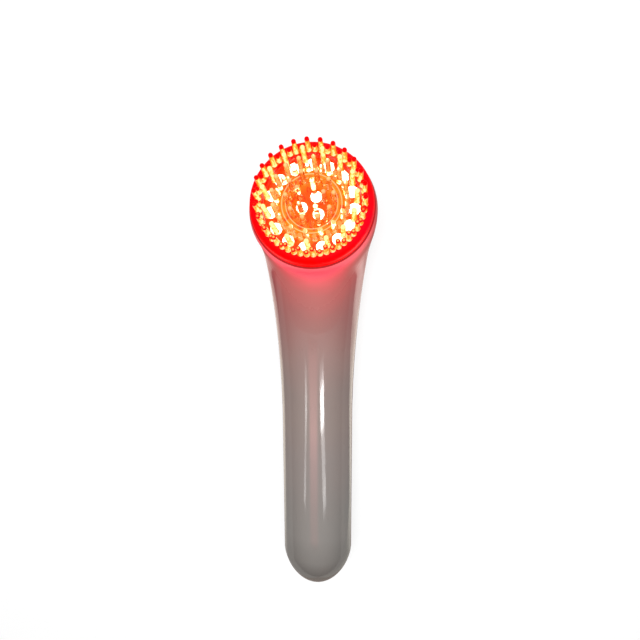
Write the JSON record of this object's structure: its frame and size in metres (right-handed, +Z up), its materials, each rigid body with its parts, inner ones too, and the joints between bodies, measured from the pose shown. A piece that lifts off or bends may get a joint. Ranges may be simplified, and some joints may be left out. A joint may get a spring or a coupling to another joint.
{
  "type": "handheld facial beauty device",
  "caption": "Handheld light therapy wand for the face with a flared tilted head, a lift-off ring of soft pins round a clear window, and lamps and a vibration motor inside.",
  "frame": {"origin": "middle of the bounding box's base, on the plane that the flattened back of the handle lies on", "axes": "+Y from the rounded end of the handle towards the head, +Z up out of the front, +X to the right of a person who looks down on the lit face with the head away from them"},
  "size_m": [0.059, 0.2324, 0.0688],
  "materials": {
    "shell_white": "polished",
    "button_white": "satin",
    "ring_silicone": "satin",
    "window_silicone": "clear",
    "seal_rubber": "matte",
    "lamp_clear": "clear",
    "tray_plastic": "matte",
    "board_laminate": "satin",
    "chip_black": "matte",
    "frame_plastic": "matte",
    "battery_sleeve": "satin",
    "steel": "satin",
    "brass": "satin",
    "contact_gold": "polished",
    "lead_red": "matte",
    "lead_black": "matte",
    "lead_white": "matte"
  },
  "bodies": {
    "housing": {"front_shell": "shell_white", "rear_shell": "shell_white", "shell_screw_1": "steel", "shell_screw_2": "steel", "shell_screw_3": "steel", "shell_screw_4": "steel", "head_seal": "seal_rubber", "light_tray": "tray_plastic", "led_board": "board_laminate", "lamp_outer_01": "lamp_clear", "lamp_outer_02": "lamp_clear", "lamp_outer_03": "lamp_clear", "lamp_outer_04": "lamp_clear", "lamp_outer_05": "lamp_clear", "lamp_outer_06": "lamp_clear", "lamp_outer_07": "lamp_clear", "lamp_outer_08": "lamp_clear", "lamp_outer_09": "lamp_clear", "lamp_outer_10": "lamp_clear", "lamp_outer_11": "lamp_clear", "lamp_outer_12": "lamp_clear", "lamp_outer_13": "lamp_clear", "lamp_outer_14": "lamp_clear", "lamp_outer_15": "lamp_clear", "lamp_centre_1": "lamp_clear", "lamp_centre_2": "lamp_clear", "lamp_centre_3": "lamp_clear", "battery": "battery_sleeve", "battery_cradle": "frame_plastic", "charging_contact_1": "contact_gold", "charging_contact_2": "contact_gold", "charge_board": "board_laminate", "main_board": "board_laminate", "board_screw_1": "steel", "board_screw_2": "steel", "control_chip": "chip_black", "tact_switch": "chip_black", "motor_can": "steel", "motor_bracket": "frame_plastic", "battery_lead_plus": "lead_red", "battery_lead_minus": "lead_black", "charge_lead": "lead_white", "motor_lead": "lead_black", "lamp_lead": "lead_white"},
    "brush": {"brush_ring": "ring_silicone", "brush_window": "window_silicone"},
    "button": {"button_cap": "button_white"},
    "plunger": {"switch_plunger": "frame_plastic"},
    "rotor": {"motor_shaft": "steel", "eccentric_weight": "brass"}
  },
  "joints": [
    {"name": "brush_lift", "type": "slide", "parent": "housing", "child": "brush", "axis": [0, 0.2419, 0.9703], "range_m": [0, 0.02]},
    {"name": "button_press", "type": "slide", "parent": "housing", "child": "button", "axis": [0, 0, 1], "range_m": [0, 0.0007], "stiffness_N_per_m": 2500},
    {"name": "plunger_press", "type": "slide", "parent": "housing", "child": "plunger", "axis": [0, 0, 1], "range_m": [0, 0.0007]},
    {"name": "rotor_spin", "type": "hinge", "parent": "housing", "child": "rotor", "pos_m": [0, 0.067, 0.013], "axis": [0, 1, 0], "continuous": true}
  ],
  "couplings": [
    {"joint": "plunger_press", "follows": "button_press", "ratio": 1}
  ]
}
